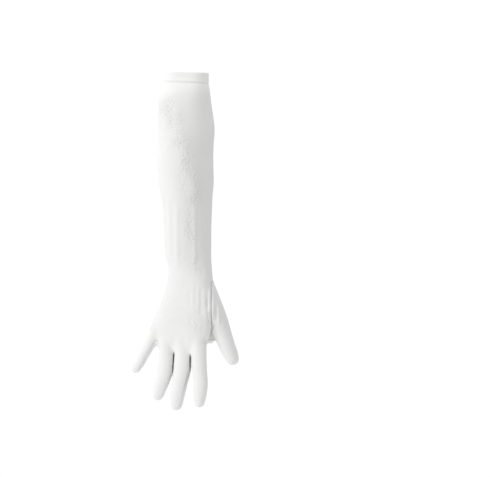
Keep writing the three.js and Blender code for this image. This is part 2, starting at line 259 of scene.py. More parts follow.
# Slits where the cloth of two fingers meets, seen from the front in millimetres: both ends, half
# width and depth, and how dark the painted shade in them lies at the top and at the end. The two
# with a depth of 0.2 are mostly painted shade on the strips below the deep slits.
SLIT_COLUMNS = ("x0", "z0", "x1", "z1", "half", "depth", "dark", "end_dark")
SLITS = (
    (-14.0, -372.5, -15.8, -400, 0.85, 6, 1, 0.45),
    (8.0, -375, 7.2, -400, 1.1, 4, 1, 0.45),
    (-16.2, -397, -24, -424, 1.2, 0.2, 0.45, 0.1),
    (6.4, -397, -1, -426, 1.6, 0.2, 0.45, 0.1),
    (37.2, -331, 36.4, -345, 0.6, 0.8, 0.55, 0.55),
)

DEEP_SLITS = SLITS[:2]
SLIT_KEEP = 3  # points this near to a deep slit aren't evened out, in millimetres

# The shaded hollow in the thumb's crook, seen from the front in millimetres: spread is the half width
# gained on the way down, and the seams fade out round it
CROOK = {"x": 35.7, "top": -341, "tall": 15, "spread": 0.36, "depth": 1.8}
# shade painted into the crook's hollow, by how far below its top, lighter towards its bottom
CROOK_SHADE = {"below": (0, 5, 14), "dark": (0.5, 0.35, 0.15)}
CROOK_FADE = {"x": 36, "half": 6, "top": -334, "long": 4, "front": -2, "apart": 4}

# How the cloth draws in at a seam (depth and half width), swells beside it and draws in under the
# hem, in millimetres
GROOVES = ((0.7, 0.5), (0.15, 1.3))
PUFF = {"height": 0.15, "away": 2.6, "half": 1.4}
CUFF_DRAW = {"depth": 0.6, "half": 1.7}
STRIP_SEAM_FAINTER = 0.35
HIDDEN_SEAM_APART = 4

# How points beside a seam are moved on to it: passes, test step, and most that a pass moves them
RIM = {"passes": 3, "step": 0.05, "least_slope": 0.2, "most": 1.2}

# The long seam down the little finger's side, in millimetres and degrees
OUTSEAM = {"deepest": 340, "side": 180 - 24, "bottom": -345}

ARM_KNIT_ENDS = -366  # below this height the knit isn't laid round the arm, in millimetres
ROOT_POINTS = 8  # points of a digit's line that lie inside the hand
NOT_NEAR = 9  # a distance that takes a part out of the choice of the nearest one


def rows_of(table, columns):
    """A table's columns as arrays by name."""
    return {name: np.array([row[i] for row in table], float) for i, name in enumerate(columns)}


def smooth_through(knots, values, at):
    """A smooth curve through values at rising knots, read at the given places."""
    slope = np.gradient(values, knots)
    at = np.clip(at, knots[0], knots[-1])
    i = np.clip(np.searchsorted(knots, at) - 1, 0, len(knots) - 2)
    step = knots[i + 1] - knots[i]
    u = (at - knots[i]) / step
    start = (1 + 2 * u) * (1 - u) ** 2 * values[i] + u * (1 - u) ** 2 * step * slope[i]
    end = u * u * (3 - 2 * u) * values[i + 1] + u * u * (u - 1) * step * slope[i + 1]
    return start + end


ARM_ROWS = rows_of(ARM, ARM_COLUMNS)
DIGIT_ROWS = {name: rows_of(table, DIGIT_COLUMNS) for name, table in DIGITS.items()}


def arm_at(down):
    """The arm's section at some depths below the mouth."""
    knots = ARM_ROWS["down"]
    return {name: smooth_through(knots, ARM_ROWS[name], down) for name in ARM_COLUMNS[1:]}


def arm_points(cos, sin, down):
    """Points on the arm in millimetres, from the cosine and sine round it and the depth down."""
    at = arm_at(down)
    power = 2 / at["square"]
    across = np.sign(cos) * np.abs(cos) ** power * at["wide"]
    back = np.sign(sin) * np.abs(sin) ** power * at["deep"]
    turn = np.radians(-at["turn"])
    lower = at["drop"] * across / at["wide"] - at["nod"] * back / at["deep"]
    x = at["x"] + across * np.cos(turn) - back * np.sin(turn)
    y = at["y"] + across * np.sin(turn) + back * np.cos(turn)
    return np.stack([x, y, -down - lower], axis=-1)


def digit_frame(name, along):
    """A digit at shares of its length: centre, across, back, down, half width and half depth."""
    rows = DIGIT_ROWS[name]
    knots = np.arange(len(rows["x"])) / (len(rows["x"]) - 1)
    centre, ahead, behind = (
        np.stack([smooth_through(knots, rows[k], np.clip(at, 0, 1)) for k in "xyz"], axis=-1)
        for at in (along, along + TURNS_STEP, along - TURNS_STEP)
    )
    down = ahead - behind
    down /= np.linalg.norm(down, axis=-1, keepdims=True)
    turn = math.radians(-HAND_TURN)
    across = np.array([math.cos(turn), math.sin(turn), 0.0]) * np.ones_like(down)
    across -= down * np.sum(across * down, axis=-1, keepdims=True)
    across /= np.linalg.norm(across, axis=-1, keepdims=True)
    back = np.cross(across, down)
    wide = smooth_through(knots, rows["wide"], along)
    deep = smooth_through(knots, rows["deep"], along)
    return centre, across, back, down, wide, deep


def vert_array(bm):
    """A form's vertices as an array."""
    return np.array([v.co[:] for v in bm.verts])


def place_verts(bm, points):
    """Moves a form's vertices to the given points."""
    for vert, point in zip(bm.verts, points):
        vert.co = point


def mesh_of(bm, name):
    """A mesh made from a form, which is freed."""
    mesh = bpy.data.meshes.new(name)
    bm.to_mesh(mesh)
    bm.free()
    return mesh


def added(name, data):
    """A new object in the scene."""
    made = bpy.data.objects.new(name, data)
    bpy.context.scene.collection.objects.link(made)
    return made


def cut_flat(bm, place, way, **cleared):
    """Cuts a form on a plane and clears one side of it."""
    everything = bm.verts[:] + bm.edges[:] + bm.faces[:]
    bmesh.ops.bisect_plane(bm, geom=everything, plane_co=place, plane_no=way, **cleared)


def lengths_along(line):
    """How far along a line each of its points lies."""
    return np.concatenate([[0], np.cumsum(np.linalg.norm(np.diff(line, axis=0), axis=1))])


def unit_tube(sides, steps):
    """A closed upright tube of radius 1 from z 0.5 down to -0.5, cut into steps."""
    bm = bmesh.new()
    bmesh.ops.create_cone(
        bm, cap_ends=True, cap_tris=False, segments=sides, radius1=1, radius2=1, depth=1
    )
    upright = [e for e in bm.edges if abs(e.verts[0].co.z - e.verts[1].co.z) > 0.5]
    bmesh.ops.subdivide_edges(bm, edges=upright, cuts=steps - 1)
    return bm


def arm_form():
    """The arm and hand as one closed form."""
    bm = unit_tube(**ARM_TUBE)
    unit = vert_array(bm)
    down = (0.5 - unit[:, 2]) * ARM[-1][0]
    place_verts(bm, arm_points(unit[:, 0], unit[:, 1], down) * MM)
    return bm


def digit_form(name):
    """One finger, the thumb or the web, with a round tip."""
    bm = unit_tube(**DIGIT_TUBE)
    unit = vert_array(bm)
    share = 0.5 - unit[:, 2]
    along = np.clip(share / (1 - TIP_SHARE), 0, 1)
    arc = np.clip((share - 1 + TIP_SHARE) / TIP_SHARE, 0, 0.99) * math.pi / 2
    centre, across, back, down, wide, deep = digit_frame(name, along)
    radius = np.cos(arc)
    points = (
        centre
        + across * (unit[:, 0] * wide * radius)[:, None]
        + back * (unit[:, 1] * deep * radius)[:, None]
        + down * (np.sin(arc) * ((wide + deep) / 2 + TIP_LONGER))[:, None]
    )
    place_verts(bm, points * MM)
    return bm


def joined_form(fine):
    """The arm, hand and digits as one closed mesh with even faces."""
    together = bmesh.new()
    for part in [arm_form()] + [digit_form(name) for name in DIGITS]:
        bmesh.ops.recalc_face_normals(part, faces=part.faces)
        loose = mesh_of(part, "form_part")
        together.from_mesh(loose)
        bpy.data.meshes.remove(loose)
    mesh = mesh_of(together, "form")
    form = added("form", mesh)
    remesh = form.modifiers.new("even faces", "REMESH")
    remesh.mode = "VOXEL"
    remesh.voxel_size = fine
    evaluated = form.evaluated_get(bpy.context.evaluated_depsgraph_get())
    even = bpy.data.meshes.new_from_object(evaluated)
    bpy.data.objects.remove(form)
    bpy.data.meshes.remove(mesh)
    bm = bmesh.new()
    bm.from_mesh(even)
    bpy.data.meshes.remove(even)
    return bm


def relax(bm, times, chosen=None):
    """Evens out the form's surface, or the chosen part of it."""
    verts = [v for v in bm.verts if chosen is None or chosen(v.co / MM)]
    for _ in range(times):
        bmesh.ops.smooth_vert(
            bm, verts=verts, factor=0.5, use_axis_x=True, use_axis_y=True, use_axis_z=True
        )


def off_slits(point):
    """Whether a point lies away from the deep slits."""
    for x0, z0, x1, z1, *_ in DEEP_SLITS:
        aside = abs(point.x - x0 - (point.z - z0) * (x1 - x0) / (z1 - z0))
        if aside < SLIT_KEEP and z1 - 2 < point.z < z0 + 1:
            return False
    return True


def near_details(p, reach):
    """Which points in millimetres lie near a seam, a slit or the thumb's crook."""
    close = np.zeros(len(p), bool)
    for inside in INSIDE.values():
        close |= np.abs(inside(p)) < reach
    for row in SLITS:
        slit = dict(zip(SLIT_COLUMNS, row))
        close |= line_cover(p, slit, reach) > 0.3
    below = CROOK["top"] - p[:, 2]
    close |= (np.abs(p[:, 0] - CROOK["x"]) < 4 + reach) & (below > -reach) & (below < 16)
    return close


def hidden_seam(strip, p, normal):
    """How far a strip's seam is hidden in the fold where two fingers meet on the back, from 0 to 1."""
    if strip == "fourchette_ring_little":
        return np.zeros(len(p))
    top = FORKS[strip][2]
    return np.clip((p[:, 2] - top + 24) / 8, 0, 1) * (normal[:, 1] < 0.2)


def refine(bm, reach):
    """Halves the faces' sides near the seams and slits."""
    close = near_details(vert_array(bm) / MM, reach)
    bm.verts.index_update()
    edges = [e for e in bm.edges if close[e.verts[0].index] and close[e.verts[1].index]]
    bmesh.ops.subdivide_edges(bm, edges=edges, cuts=1, use_grid_fill=True)


def near_knuckles(point):
    """Whether a point lies where the fingers part, away from the deep slits."""
    return -386 < point.z < -330 and point.x < 31 and off_slits(point)


def near_thumb_root(point):
    """Whether a point lies at the thumb's root or on the web in its crook."""
    on_web = point.z > -352 or 30 < point.x < 44
    return -368 < point.z < -262 and 22 < point.x < 52 and on_web


def thumb_inside(p):
    """How far points in millimetres lie inside the thumb's piece; below nothing outside it."""
    seam = THUMB_SEAM
    slope = (seam["outer_top"] - seam["top"]) / (seam["outer_x"] - seam["x"])
    under = (seam["top"] + slope * (p[:, 0] - seam["x"]) - p[:, 2]) / math.hypot(1, slope)
    beyond = np.minimum(p[:, 0] - seam["x"], under)
    across = (p[:, 0] - THENAR["x"]) / THENAR["wide"]
    oval = np.hypot(across, (p[:, 2] - THENAR["z"]) / THENAR["tall"])
    palm = np.minimum((1 - oval) * THENAR["wide"], p[:, 1] - THENAR["behind"])
    return ROUNDING * np.logaddexp(beyond / ROUNDING, palm / ROUNDING)


def strip_inside(name, p):
    """How far points in millimetres lie inside one strip; below nothing outside it."""
    left, right, top = FORKS[name]
    slope = -math.tan(math.radians(HAND_TURN))
    inside = []
    centres = []
    for digit in (left, right):
        rows = DIGIT_ROWS[digit]
        share = np.linspace(0, 1, LINE_POINTS)
        line = digit_frame(digit, share)[0][::-1]
        x = np.interp(p[:, 2], line[:, 2], line[:, 0])
        y = np.interp(p[:, 2], line[:, 2], line[:, 1])
        end = rows["z"][-1] - rows["wide"][-1] + FORK_SHORT
        half = np.interp(p[:, 2], [end, top], [FORK_TIP_HALF, FORK_HALF])
        half = half * np.sqrt(np.clip((p[:, 2] - end) / FORK_POINT, 0, 1))
        depth = np.abs(p[:, 1] - y - (p[:, 0] - x) * slope)
        inside.append(np.minimum(half - depth, np.minimum(top - p[:, 2], p[:, 2] - end)))
        centres.append(x)
    middle = (centres[0] + centres[1]) / 2
    near = np.where(p[:, 0] < middle, inside[0], inside[1])
    return np.minimum(near, np.minimum(p[:, 0] - centres[0], centres[1] - p[:, 0]))


INSIDE = {"thumb": thumb_inside}
for strip_name in STRIPS:
    INSIDE[strip_name] = lambda p, strip_name=strip_name: strip_inside(strip_name, p)


def arrays_of(mesh):
    """A mesh's vertices in millimetres, and their normals."""
    count = len(mesh.vertices)
    co = np.empty(count * 3)
    mesh.vertices.foreach_get("co", co)
    normal = np.empty(count * 3)
    mesh.vertex_normals.foreach_get("vector", normal)
    return co.reshape(-1, 3) / MM, normal.reshape(-1, 3)


def line_cover(p, line, half):
    """How near points seen from the front lie to a line, from 1 on it to 0, with soft ends."""
    start = np.array([line["x0"], line["z0"]])
    way = np.array([line["x1"], line["z1"]]) - start
    length = np.linalg.norm(way)
    way = way / length
    flat = p[:, [0, 2]] - start
    along = flat @ way
    aside = np.abs(flat @ np.array([-way[1], way[0]]))
    fade = np.clip(np.minimum(along, length - along) / (length * 0.3) + 0.4, 0, 1)
    return np.exp(-((aside / half) ** 2)) * fade * fade * (3 - 2 * fade)


def fold_height(p, normal, deepen):
    """How far each point of the skin stands out, for the gathers, creases and unevenness."""
    height = np.zeros(len(p))
    for folds, side in ((FOLDS, -1), (PALM_FOLDS, 1)):
        facing = np.clip(normal[:, 1] * side * 2, 0, 1)
        for row in folds:
            fold = dict(zip(FOLD_COLUMNS, row))
            height += deepen * fold["rise"] * line_cover(p, fold, fold["half"]) * facing
    wide, tall = UNEVEN["round"], UNEVEN["down"]
    uneven = [noise.noise(Vector((a / wide, b / wide, c / tall))) for a, b, c in p]
    return height + UNEVEN["height"] * np.array(uneven)


def stretched_knit(p, normal):
    """How far the knit is pulled on the slant, which shows as a crumpled relief in patches."""
    wide, tall, seed = PATCHES["round"], PATCHES["down"], PATCHES["seed"]
    patches = np.array([noise.noise(Vector((a / wide, b / wide, c / tall + seed))) for a, b, c in p])
    across = np.zeros(len(p))
    for row in STRETCHES:
        stretch = dict(zip(STRETCH_COLUMNS, row))
        across = np.maximum(across, line_cover(p, stretch, stretch["half"]) * stretch["pull"])
    facing = np.clip(-normal[:, 1] * 2, 0, 1)
    return np.clip(0.6 + 1.2 * patches, 0, 0.9) * (0.12 + across * facing)


def sunk(p, normal):
    """How deep the slits and the thumb's crook sink the front, and the shade painted into them and into
    the pulled knit.
    """
    depth, shade = np.zeros((2, len(p)))
    facing = np.clip(-normal[:, 1] * 1.6 + 0.3, 0, 1)
    for row in SLITS:
        slit = dict(zip(SLIT_COLUMNS, row))
        cover = line_cover(p, slit, slit["half"]) * facing
        depth = np.maximum(depth, slit["depth"] * cover)
        # painted shade in the slit, darker at its top than at its end
        dark = np.interp(p[:, 2], [slit["z1"], slit["z0"] - 8], [slit["end_dark"], slit["dark"]])
        shade = np.maximum(shade, cover * dark)
    # painted shade where the knit is pulled on the slant
    for row in STRETCHES:
        stretch = dict(zip(STRETCH_COLUMNS, row))
        cover = line_cover(p, stretch, stretch["half"] * PULLED_KNIT_SHADE_WIDER)
        shade = np.maximum(shade, PULLED_KNIT_PAINTED_SHADE * stretch["pull"] * cover)
    below = CROOK["top"] - p[:, 2]
    side = below * CROOK["spread"] - np.abs(p[:, 0] - CROOK["x"])
    within = (below > 0) * np.clip((CROOK["tall"] - below) / 2, 0, 1)
    cover = np.clip(side / 1.2 + 0.5, 0, 1) * facing * within
    depth = np.maximum(depth, CROOK["depth"] * cover * cover * (3 - 2 * cover))
    # painted shade in the crook's hollow
    dark = np.interp(below, CROOK_SHADE["below"], CROOK_SHADE["dark"])
    return depth, np.maximum(shade, cover * dark)


def fit_rim(points, normal, rim, inside):
    """Moves the points beside a seam along the skin until they lie on it."""
    for _ in range(RIM["passes"]):
        at = points[rim]
        value = inside(at)
        step = RIM["step"]
        slope = np.stack([(inside(at + np.eye(3)[k] * step) - value) / step for k in range(3)], axis=-1)
        slope -= normal[rim] * np.sum(slope * normal[rim], axis=-1, keepdims=True)
        size = np.maximum(np.sum(slope * slope, axis=-1), RIM["least_slope"])
        move = -(value / size)[:, None] * slope
        far = np.linalg.norm(move, axis=-1, keepdims=True)
        points[rim] += move * np.minimum(1, RIM["most"] / np.maximum(far, 1e-6))


def skin_mesh(fine, deepen):
    """The whole glove's skin below the hem, with each face marked with the piece that it belongs to."""
    bm = joined_form(fine)
    relax(bm, RELAX["all"])
    relax(bm, RELAX["knuckles"], near_knuckles)
    relax(bm, RELAX["thumb_root"], near_thumb_root)
    for reach in FINER_REACH:
        refine(bm, reach)
    relax(bm, RELAX["last"])
    cut_at_hem(bm, HEM_DEPTH - BEHIND_HEM)
    mesh = mesh_of(bm, "skin")
    points, normal = arrays_of(mesh)
    depth, shade = sunk(points, normal)
    points = points + normal * fold_height(points, normal, deepen)[:, None]
    points[:, 1] += depth

    corners = [tuple(face.vertices) for face in mesh.polygons]
    middles = np.array([points[list(face)].mean(axis=0) for face in corners])
    piece = np.zeros(len(corners), int)
    for number, inside in enumerate(INSIDE.values(), start=1):
        piece[inside(middles) > 0] = number
    seam = np.full(len(points), FAR)
    for number, inside in enumerate(INSIDE.values(), start=1):
        own, other = np.zeros((2, len(points)), bool)
        for face, mark in zip(corners, piece):
            (own if mark == number else other)[list(face)] = True
        fit_rim(points, normal, own & other, inside)
        apart = np.abs(inside(points))
        if number > 1:
            hidden = hidden_seam(STRIPS[number - 2], points, normal)
            apart = apart + STRIP_SEAM_FAINTER + HIDDEN_SEAM_APART * hidden
        seam = np.minimum(seam, apart)
    fade = CROOK_FADE
    crook = np.clip((fade["top"] - points[:, 2]) / fade["long"], 0, 1)
    crook = crook * (np.abs(points[:, 0] - fade["x"]) < fade["half"]) * (points[:, 1] < fade["front"])
    seam += fade["apart"] * crook
    groove = sum(depth * np.exp(-((seam / half) ** 2)) for depth, half in GROOVES)
    points -= normal * groove[:, None]
    puff = PUFF["height"] * np.exp(-(((seam - PUFF["away"]) / PUFF["half"]) ** 2))
    points += normal * puff[:, None]
    cuff = arm_edge_distance(points)
    drawn = CUFF_DRAW["depth"] * np.exp(-((cuff / CUFF_DRAW["half"]) ** 2))
    points -= normal * drawn[:, None]
    mesh.vertices.foreach_set("co", (points * MM).ravel())
    mesh.attributes.new("piece", "INT", "FACE").data.foreach_set("value", piece)
    # shade holds the painted shade of the slits, the crook and the pulled knit
    for name, values in (
        ("seam", seam),
        ("shade", shade),
        ("stretched", stretched_knit(points, normal)),
        ("outseam", outseam_distance(points)),
    ):
        mesh.attributes.new(name, "FLOAT", "POINT").data.foreach_set("value", values)
    mesh.update()
    return mesh


def arm_edge_distance(p):
    """How far below the hem's lower edge each point lies, in millimetres."""
    edge = arm_at(np.array([HEM_DEPTH]))
    level = (
        -HEM_DEPTH
        - edge["drop"][0] * (p[:, 0] - edge["x"][0]) / edge["wide"][0]
        + edge["nod"][0] * p[:, 1] / edge["deep"][0]
    )
    return np.maximum(level - p[:, 2], 0)


def outseam_distance(p):
    """Signed distance in millimetres from the long seam down the little finger's side."""
    down = np.clip(-p[:, 2], 0, OUTSEAM["deepest"])
    at = arm_at(down)
    side = np.radians(OUTSEAM["side"] - at["turn"])
    seam_y = at["y"] + at["deep"] * np.sin(side)
    middle = np.where(p[:, 0] < at["x"], p[:, 1] - seam_y, FAR)
    return np.where(p[:, 2] > OUTSEAM["bottom"], middle, FAR)


def knit_coordinates(p):
    """Round and down the cloth in centimetres, by the part of the hand nearest to each point."""
    at = arm_at(np.clip(-p[:, 2], 0, ARM[-1][0]))
    turn = np.radians(-at["turn"])
    dx = p[:, 0] - at["x"]
    dy = p[:, 1] - at["y"]
    across = dx * np.cos(turn) + dy * np.sin(turn)
    back = -dx * np.sin(turn) + dy * np.cos(turn)
    best = np.abs(np.hypot(across / at["wide"], back / at["deep"]) - 1)
    best = np.where(p[:, 2] < ARM_KNIT_ENDS, NOT_NEAR, best)
    part = np.zeros(len(p), int)
    angle = np.arctan2(across / at["wide"], -back / at["deep"])
    coordinates = [np.stack([angle, p[:, 2] / 10], axis=-1)]
    girths = [(at["wide"] + at["deep"]) / 20]
    for number, name in enumerate(("index", "middle", "ring", "little", "thumb"), start=1):
        share = np.linspace(0, 1, KNIT_POINTS)
        centre, side, rear, down, wide, deep = digit_frame(name, share)
        length = lengths_along(centre)
        near = np.empty(len(p), int)
        for start in range(0, len(p), BATCH):
            some = p[start : start + BATCH]
            far = np.linalg.norm(some[:, None] - centre[None], axis=-1)
            near[start : start + BATCH] = np.argmin(far, axis=1)
        offset = p - centre[near]
        a, b, c = (np.sum(offset * way[near], axis=-1) for way in (side, rear, down))
        wide, deep = wide[near], deep[near]
        gap = np.abs(np.sqrt((a / wide) ** 2 + (b / deep) ** 2 + (c / wide) ** 2) - 1)
        gap = np.where(near < ROOT_POINTS, NOT_NEAR, gap)
        better = gap < best
        best = np.where(better, gap, best)
        part[better] = number
        rise = centre[0, 2] - length[near] - c
        angle = np.arctan2(a / wide, -b / deep)
        coordinates.append(np.stack([angle, rise / 10], axis=-1))
        girths.append((wide + deep) / 20)
    return part, coordinates, girths


def cut_at_hem(bm, below):
    """Cuts a form off at the hem's slant, a little below the hem's top."""
    edge = arm_at(np.array([HEM_DEPTH]))
    aside = edge["drop"][0] / edge["wide"][0]
    tilt = Vector((aside, -edge["nod"][0] / edge["deep"][0], 1)).normalized()
    cut_flat(bm, (edge["x"][0] * MM, 0, -below * MM), tilt, clear_outer=True)


def inner_side(fine, thick):
    """The inside of the cloth, which shows through the cuff's mouth."""
    bm = joined_form(fine)
    relax(bm, RELAX["inner"])
    bm.normal_update()
    places = [vert.co - vert.normal * thick for vert in bm.verts]
    place_verts(bm, places)
    cut_at_hem(bm, HEM_DEPTH - INNER_BEHIND_HEM)
    cut_flat(bm, (0, 0, -INNER_DEPTH * MM), (0, 0, 1), clear_inner=True)
    bmesh.ops.reverse_faces(bm, faces=bm.faces)
    return bm


def seam_lines(bm, number):
    """The seams round one piece, each as a row of points with the skin's normals."""
    mark = bm.faces.layers.int["piece"]
    beside = {}
    for edge in bm.edges:
        marks = [face[mark] == number for face in edge.link_faces]
        if marks in ([True, False], [False, True]):
            first, second = edge.verts
            beside.setdefault(first, []).append(second)
            beside.setdefault(second, []).append(first)
    lines = []
    while beside:
        ends = [vert for vert, others in beside.items() if len(others) == 1]
        vert = ends[0] if ends else next(iter(beside))
        line = [vert]
        while beside.get(vert):
            following = beside[vert].pop()
            beside[following].remove(vert)
            if not beside[vert]:
                del beside[vert]
            vert = following
            line.append(vert)
        if not beside.get(vert, True):
            del beside[vert]
        lines.append((np.array([v.co[:] for v in line]), np.array([v.normal[:] for v in line])))
    return lines


def stitch_places(bm, number):
    """The stitches that sew one piece in: the middle of each, its direction, and outwards."""
    places = []
    for points, normals in seam_lines(bm, number):
        length = lengths_along(points)
        if length[-1] < SHORTEST_SEAM * MM:
            continue
        count = length[-1] / (STITCH["step"] * MM)
        at = np.arange(0.5, count - 0.5) * STITCH["step"] * MM
        middle, outward, ahead, behind = (
            np.stack([np.interp(where, length, rows[:, k]) for k in range(3)], axis=-1)
            for where, rows in ((at, points), (at, normals), (at + MM, points), (at - MM, points))
        )
        shown = np.ones(len(at))
        if number > 1:
            shown = hidden_seam(STRIPS[number - 2], middle / MM, outward) < 0.5
        for m, n, way, show in zip(middle, outward, ahead - behind, shown):
            if not show:
                continue
            n = Vector(n).normalized()
            way = Vector(way).normalized()
            lean = math.radians(STITCH["lean"])
            along = n.cross(way) * math.cos(lean) + way * math.sin(lean)
            places.append((Vector(m), along, n))
    return places


def join_in(bm, loose):
    """Joins a loose mesh into a piece, marked as lying far from every seam."""
    for name in ("seam", "outseam"):
        far = loose.attributes.new(name, "FLOAT", "POINT")
        far.data.foreach_set("value", np.full(len(loose.vertices), FAR))
    bm.from_mesh(loose)
    bpy.data.meshes.remove(loose)


def stitch_mesh(places):
    """Short threads that lie over a seam."""
    bm = bmesh.new()
    for middle, along, outward in places:
        side = outward.cross(along).normalized()
        along = side.cross(outward)
        turn = Matrix((side, outward, along)).transposed().to_4x4()
        size = Matrix.Diagonal((STITCH["thick"], STITCH["thick"], STITCH["long"], 1)) * (MM / 2)
        size[3][3] = 1
        place = Matrix.Translation(middle + outward * STITCH["proud"] * MM)
        bmesh.ops.create_uvsphere(
            bm, u_segments=6, v_segments=4, radius=1, matrix=place @ turn @ size
        )
    return mesh_of(bm, "stitches")


def cloth_piece(skin, number, name, inside, finish):
    """One sewn piece, cut from the skin along its seams."""
    bm = bmesh.new()
    bm.from_mesh(skin)
    places = stitch_places(bm, number) if number else []
    mark = bm.faces.layers.int["piece"]
    others = [face for face in bm.faces if face[mark] != number]
    bmesh.ops.delete(bm, geom=others, context="FACES")
    if places:
        join_in(bm, stitch_mesh(places))
    if inside:
        join_in(bm, mesh_of(inside, "inner"))
    mesh = mesh_of(bm, name)
    lay_out_knit(mesh)
    return finished_piece(name, mesh, finish)


def lay_out_knit(mesh):
    """Gives a mesh its knit coordinates as a UV map, unbroken across each face."""
    points, _ = arrays_of(mesh)
    _, coordinates, girths = knit_coordinates(points)
    middles = np.empty(len(mesh.polygons) * 3)
    mesh.polygons.foreach_get("center", middles)
    part, _, _ = knit_coordinates(middles.reshape(-1, 3) / MM)
    layer = mesh.uv_layers.new(name="knit")
    flat = np.empty((len(mesh.loops), 2))
    for face in mesh.polygons:
        own = coordinates[part[face.index]]
        girth = girths[part[face.index]]
        first = own[face.vertices[0]][0]
        for loop, vert in zip(face.loop_indices, face.vertices):
            angle, rise = own[vert]
            angle -= round((angle - first) / (2 * math.pi)) * 2 * math.pi
            flat[loop] = (angle * girth[vert], rise)
    layer.data.foreach_set("uv", flat.ravel())


def finished_piece(name, mesh, finish):
    """A named piece of the glove that stands for its solid."""
    for face in mesh.polygons:
        face.use_smooth = True
    piece = added(name + "_cloth", mesh)
    mesh.materials.append(finish)
    return piece


def stand_for(piece, node):
    """Puts a piece in its solid's place."""
    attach(piece, "root")
    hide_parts(node)


class Nodes:
    """Adds and joins a material's nodes."""

    def __init__(self, tree):
        self.tree = tree
        tree.nodes.clear()

    def add(self, kind, inputs=(), **settings):
        """A new node, with a value or another node's output for each input named."""
        node = self.tree.nodes.new(kind)
        for key, value in settings.items():
            setattr(node, key, value)
        for key, value in dict(inputs).items():
            if isinstance(value, bpy.types.NodeSocket):
                self.tree.links.new(value, node.inputs[key])
            else:
                node.inputs[key].default_value = value
        return node

    def math(self, operation, *values):
        return self.add("ShaderNodeMath", enumerate(values), operation=operation).outputs[0]

    def times(self, first, second):
        return self.math("MULTIPLY", first, second)

    def mix(self, share, first, second):
        return self.add("ShaderNodeMixRGB", {0: share, 1: first, 2: second}).outputs[0]

    def stored(self, name):
        return self.add("ShaderNodeAttribute", attribute_name=name).outputs["Fac"]

    def reach(self, inputs):
        return self.add("ShaderNodeMapRange", inputs, interpolation_type="SMOOTHSTEP").outputs[0]


# The knit's relief: how far a row leans over half a column, the heights of the legs, the ribs, the
# crumpled patches and the seam's hollow, how fast that hollow ends, and how dark the painted shade in
# that hollow lies
KNIT = {
    "lean": 1.3, "leg": 0.35, "rib": -0.5, "crumple": 52, "hollow": -3.5, "fall": -6, "dark": 0.55
}
BUMP_DISTANCE = 0.0001  # metres for a height of 1
MATT = {"Roughness": 0.82, "Specular IOR Level": 0.25, "Sheen Roughness": 0.45}
CRUMPLE = {"Detail": 1.5, "Distortion": 0.8}
MOTTLE = {"Scale": 38, "Detail": 4}
MOTTLE_DARKER = 0.965
# the colour that painted shade darkens the knit towards, as a share of the cloth's colour
SHADE_DARKER = 0.25

# Where the cuff's paler tone begins and is full, and its share on the fingers. Near the mouth the paler
# tone is partly the doubled knit and partly painted light; on the fingers it is painted light.
CUFF_HEIGHTS = {"From Min": -42 * MM, "From Max": -16 * MM}
FINGER_HEIGHTS = {"From Min": -335 * MM, "From Max": -385 * MM, "To Max": 0.35}


def knit_finish(name, look):
    """White stretch knit: fine columns of stitches, a soft unevenness and seams that draw in, with
    painted shade in the seams, the slits, the crook and the pulled knit, and a paler tone at the cuff
    and fingers that is partly painted light.
    """
    finish = bpy.data.materials.new(name)
    finish.use_nodes = True
    nodes = Nodes(finish.node_tree)
    uv = nodes.add("ShaderNodeUVMap", uv_map="knit").outputs[0]
    split = nodes.add("ShaderNodeSeparateXYZ", {0: uv})
    around, along = split.outputs[0], split.outputs[1]
    column = nodes.times(around, 10 / look.column)
    share = nodes.math("SUBTRACT", nodes.math("FRACT", column), 0.5)
    lean = nodes.times(nodes.math("ABSOLUTE", share), KNIT["lean"])
    row = nodes.math("ADD", nodes.times(along, 10 / look.row), lean)
    leg = nodes.math("SINE", nodes.times(row, 2 * math.pi))
    rib = nodes.math("COSINE", nodes.times(column, 2 * math.pi))
    knit = nodes.math("ADD", nodes.times(leg, KNIT["leg"]), nodes.times(rib, KNIT["rib"]))

    place = nodes.add("ShaderNodeTexCoord").outputs["Object"]
    crumples = {**CRUMPLE, "Scale": 1 / look.crumple, "Vector": place}
    crumple = nodes.add("ShaderNodeTexNoise", crumples).outputs[0]
    depth = nodes.times(nodes.math("SUBTRACT", crumple, 0.5), KNIT["crumple"])
    weave = nodes.times(depth, nodes.stored("stretched"))

    outseam = nodes.math("ABSOLUTE", nodes.stored("outseam"))
    gap = nodes.math("MINIMUM", nodes.stored("seam"), outseam)
    draw = nodes.math("EXPONENT", nodes.times(nodes.times(gap, gap), KNIT["fall"]))
    hollow = nodes.times(draw, KNIT["hollow"])
    height = nodes.math("ADD", nodes.math("ADD", knit, weave), hollow)
    relief = {"Strength": look.relief, "Distance": BUMP_DISTANCE, "Height": height}
    bump = nodes.add("ShaderNodeBump", relief).outputs[0]

    white = tuple(look.colour)
    mottle = nodes.add("ShaderNodeTexNoise", {**MOTTLE, "Vector": place}).outputs[0]
    tone = nodes.mix(mottle, (*[c * MOTTLE_DARKER for c in white], 1), (*white, 1))
    # a paler tone near the mouth, partly the doubled knit and partly painted light, and painted light
    # on the fingers
    up = nodes.add("ShaderNodeSeparateXYZ", {0: place}).outputs["Z"]
    doubled = nodes.reach({**CUFF_HEIGHTS, "Value": up})
    fingers = nodes.reach({**FINGER_HEIGHTS, "Value": up})
    tone = nodes.mix(nodes.math("MAXIMUM", doubled, fingers), tone, (*look.cuff, 1))
    # painted shade: darker where the seams draw in, with the shade painted into the slits, the crook
    # and the pulled knit
    dark = nodes.math("MAXIMUM", nodes.times(draw, KNIT["dark"]), nodes.stored("shade"))
    tone = nodes.mix(dark, tone, (*[c * SHADE_DARKER for c in white], 1))

    looks = {**MATT, "Sheen Weight": look.sheen, "Normal": bump, "Base Color": tone}
    cloth = nodes.add("ShaderNodeBsdfPrincipled", looks).outputs[0]
    nodes.add("ShaderNodeOutputMaterial", {"Surface": cloth})
    return finish


